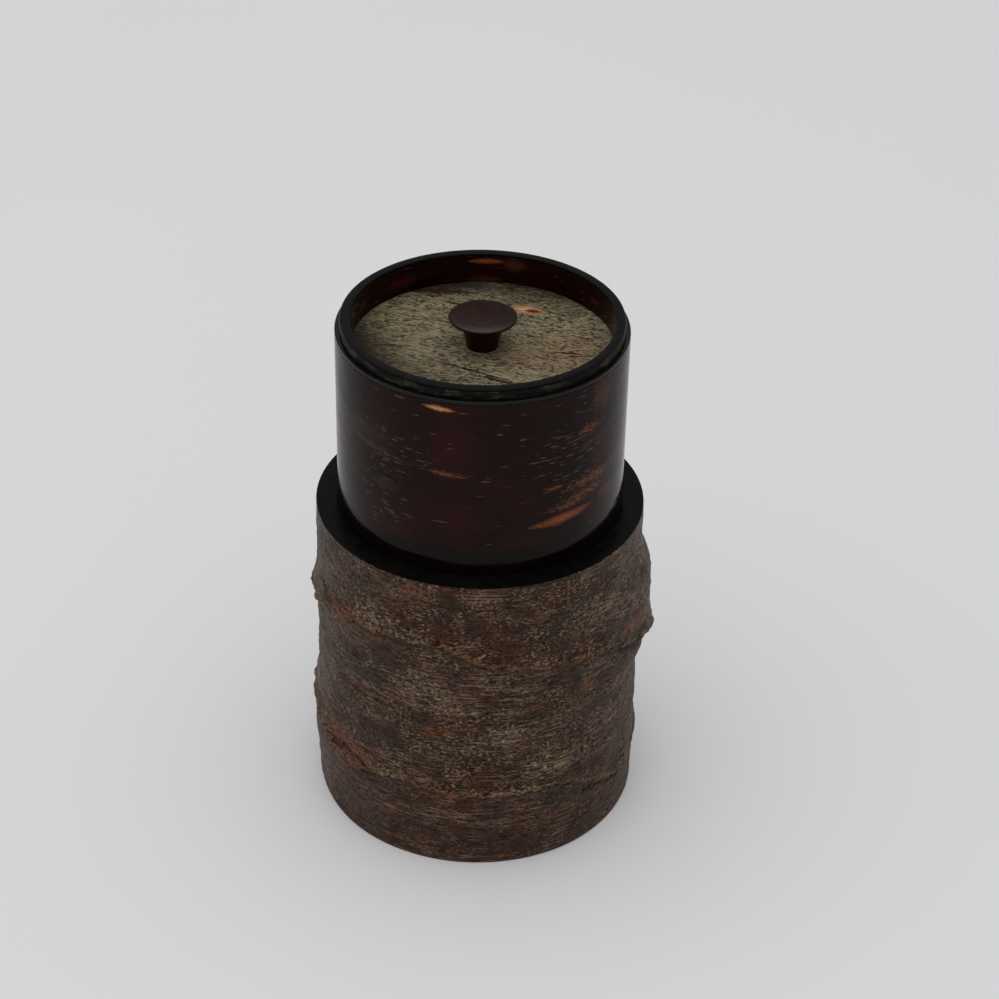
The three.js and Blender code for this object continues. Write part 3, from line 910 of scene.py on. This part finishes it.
bark_disc(
    "lid_under_polished_bark", "lid_under_bark", "inner_lid", 71.0,
    ((6, -8, 9, 1.3, 0.08, 0.6, "orange"), (-10, 9, 10, 4, 0, 0.6, "red")), ((0, 4, 20, 12), (8, -16, 12, 6)),
)
dress("lid_plug_core", veneer_wood("veneer_plug_tube", 39.0, tube=True))
dress("lid_board", veneer_wood("cherry_lid_board", 45.0, tube=False))

# ---------------------------------------------------------------- Inner lid: frosted floor of the well
# The well's floor is a disc of bark with its frosted skin left on, glued to the lid's board round the knob's
# neck. A dark fold crosses it at the front, and a small cream scar lies behind the knob on the right.
floor_low, floor_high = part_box("lid_top_bark")
knob_hole = 2.25 * mm
grain_tilt = math.radians(-16)
floor_bark = turned(
    "well_floor_frosted_bark", knob_hole, floor_high[0] * facet, floor_low[2], floor_high[2], 0.06 * mm,
    steps=360, cuts=(9, 9), cut_face="top",
)
places = np.array([vertex.co for vertex in floor_bark.data.vertices]) / mm
reach = np.hypot(places[:, 0], places[:, 1])
on_top = places[:, 2] > floor_high[2] / mm - 0.01
flat_edge, flat_neck, settling = 0.4, 4.2, 0.8  # the bark lies flat at the wall and round the neck
settled = np.clip((floor_high[0] / mm - flat_edge - reach) / settling, 0, 1)
settled *= np.clip((reach - flat_neck) / settling, 0, 1)
# The fold runs down to the right, and dies away to both sides.
fold_line = -13.0 - 0.5 * (places[:, 0] + 2)
fold_length = np.clip(1.2 - np.abs(places[:, 0] + 1.5) / 13, 0, 1)
fold_width = 1.3
mark_vertices(floor_bark, {
    "frost": on_top * settled,
    "fold": on_top * settled * fold_length * np.exp(-(((places[:, 1] - fold_line) / fold_width) ** 2)),
})
push(floor_bark, "frost", 0.20 * mm, 0.5, (9, 5, 9), grain_tilt)
push(floor_bark, "frost", 0.16 * mm, 0.5, (2.2, 0.7, 2), grain_tilt)
push(floor_bark, "fold", 0.45 * mm, 0.25, (2.5, 0.9, 2), grain_tilt)
dark_brown = rgb(0.012, 0.008, 0.005)
floor_scars = (
    (-10.6, -8.4, 4.0, 0.9, -0.2, 0.9, rgb(0.12, 0.075, 0.05), rgb(0.19, 0.105, 0.07)),
    (-1.5, -12.4, 11.5, 0.55, -0.5, 1.1, dark_brown, dark_brown),
    (5.0, -16.8, 8.5, 0.65, -0.42, 0.9, dark_brown, rgb(0.02, 0.012, 0.008)),
    (-11, 26.2, 9.5, 1.9, -0.05, 1.0, rgb(0.022, 0.013, 0.010), rgb(0.03, 0.015, 0.012)),
    (-6.5, 20.0, 4.2, 0.45, -0.45, 0.8, dark_brown, dark_brown),
    (10.8, 17.4, 4.5, 2.1, -0.25, 0.5, rgb(0.30, 0.155, 0.060), rgb(0.42, 0.28, 0.14)),
    (12.1, 16.8, 2.3, 1.0, -0.2, 0.4, rgb(0.16, 0.045, 0.02), rgb(0.050, 0.013, 0.007)),
    (18.6, 15.1, 4.8, 0.22, -0.5, 0.4, dark_brown, dark_brown),
    (20, -3.2, 5.5, 0.30, -0.12, 0.8, dark_brown, dark_brown),
    (-22, -0.5, 4.5, 0.7, -0.1, 1.2, rgb(0.05, 0.028, 0.017), rgb(0.03, 0.017, 0.01)),
)
warm_tan = rgb(0.230, 0.150, 0.086)
painted_floor_shade = rgb(0.016, 0.014, 0.010)
# Four of the patches are painted shade, darker towards the well's wall at the front left, the left and the
# back; the others are tints of the bark.
floor_tints_and_shade = (
    (17, -4, 24, 17, 0.2, 0.7, warm_tan),
    (-22, -25, 56, 44, -0.70, 1.0, painted_floor_shade),
    (-38, -4, 26, 60, 0.0, 0.95, painted_floor_shade),
    (16, 37, 56, 34, -0.12, 0.95, painted_floor_shade),
    (-16, 32, 26, 14, -0.20, 0.95, painted_floor_shade),
    (-8, 22, 20, 5, -0.2, 0.5, rgb(0.16, 0.12, 0.075)),
)
floor_finish = frosted_bark("frosted_floor_bark", 0, -grain_tilt, 0.97, floor_scars, floor_tints_and_shade)
belongs(floor_bark, floor_finish, "inner_lid", "frosted_bark", "lid_top_bark")

# ---------------------------------------------------------------- Knob and its peg
# The knob is turned from bark that is stacked and glued in many layers: a thin dished head on a flared neck,
# with a tenon through the lid's board that is split and locked from below by a small wooden peg.
knob_low, knob_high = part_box("knob")
peg_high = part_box("knob_peg")[1]
head_radius = knob_high[0]
knob_top = knob_high[2] + 0.2 * mm
knob_floor = floor_high[2] + glue
foot_radius = 3.85 * mm
throat_radius = 5.1 * mm
tenon_radius = 2.2 * mm
head_edge = 0.26 * mm  # half of the height of the head's thin edge, which is rounded above and below
edge_round = 0.22 * mm
edge_overhang = 0.12 * mm
foot_ease = 0.15 * mm
head_fall = 1.75 * mm  # how far the head's underside falls towards the neck
face_dish = 0.9 * mm
peg_tip = 0.7 * mm
knob_steps = 12

throat_height = knob_top - 2 * head_edge - head_fall
outline = [
    (peg_high[0] + glue, knob_low[2]),
    (tenon_radius, knob_low[2]),
    (tenon_radius, knob_floor),
    (foot_radius - foot_ease, knob_floor),
    (foot_radius, knob_floor + foot_ease),
]
for step in range(1, knob_steps + 1):
    share = step / knob_steps
    widening = (throat_radius - foot_radius) * share**1.5
    outline.append((foot_radius + widening, knob_floor + (throat_height - knob_floor) * share))
for step in range(1, knob_steps + 1):
    share = step / knob_steps
    curve = math.sin(share * math.pi / 2)
    underside = throat_radius + (head_radius - edge_overhang - throat_radius) * share
    outline.append((underside, throat_height + head_fall * (0.35 * share + 0.65 * curve) ** 1.2))
edge_middle = knob_top - head_edge
for step in range(knob_steps + 1):
    turn = math.pi * (step / knob_steps - 0.5)
    edge_radius = head_radius - edge_round * (1 - math.cos(turn))
    outline.append((edge_radius, edge_middle + head_edge * math.sin(turn)))
for step in range(1, knob_steps):
    share = 1 - step / knob_steps
    outline.append(((head_radius - edge_round) * share, knob_top - face_dish * (1 - share**2)))

radius, height = peg_tip + glue, peg_high[2] + glue
bpy.ops.object.select_all(action="DESELECT")
bpy.ops.mesh.primitive_circle_add(vertices=144, radius=radius, fill_type="NGON", location=(0, 0, height))
knob = bpy.context.object
knob.name = "knob_stacked_bark"
bpy.ops.object.transform_apply(location=True, rotation=False, scale=False)
bpy.ops.object.mode_set(mode="EDIT")
bpy.ops.mesh.select_all(action="SELECT")
for next_radius, next_height in outline:
    bpy.ops.mesh.extrude_region_move(TRANSFORM_OT_translate={"value": (0, 0, next_height - height)})
    widen = next_radius / radius
    bpy.ops.transform.resize(value=(widen, widen, 1), center_override=(0, 0, next_height))
    radius, height = next_radius, next_height
close_up(knob)

knob_finish, tree, shader = finish("stacked_bark", ior=1.18)
place = place_mm(tree)
layers = streaks(tree, place, 40, 0.16, 0.42, 0.60, 3.0, 2)
grain = streaks(tree, place, 1.4, 0.25, 0.45, 0.70, 9.0, 4)
clouds = streaks(tree, place, 5, 2.5, 0.35, 0.65, 15.0, 3)
colour = painted(tree, rgb(0.0110, 0.0032, 0.0014), rgb(0.0215, 0.0050, 0.0022), clouds)
colour = painted(tree, colour, rgb(0.0060, 0.0030, 0.0028), layers, 0.45)
colour = painted(tree, colour, rgb(0.034, 0.012, 0.008), grain, 0.30)
shine = node(tree, "MapRange", {0: grain, 3: 0.09, 4: 0.17})
applied(tree, shader, colour, layers, 0.2, 0.03, shine)
belongs(knob, knob_finish, "inner_lid", "knob_bark", "knob")
dress("knob_peg", veneer_wood("wooden_peg", 51.0, tube=False))

bpy.context.view_layer.update()
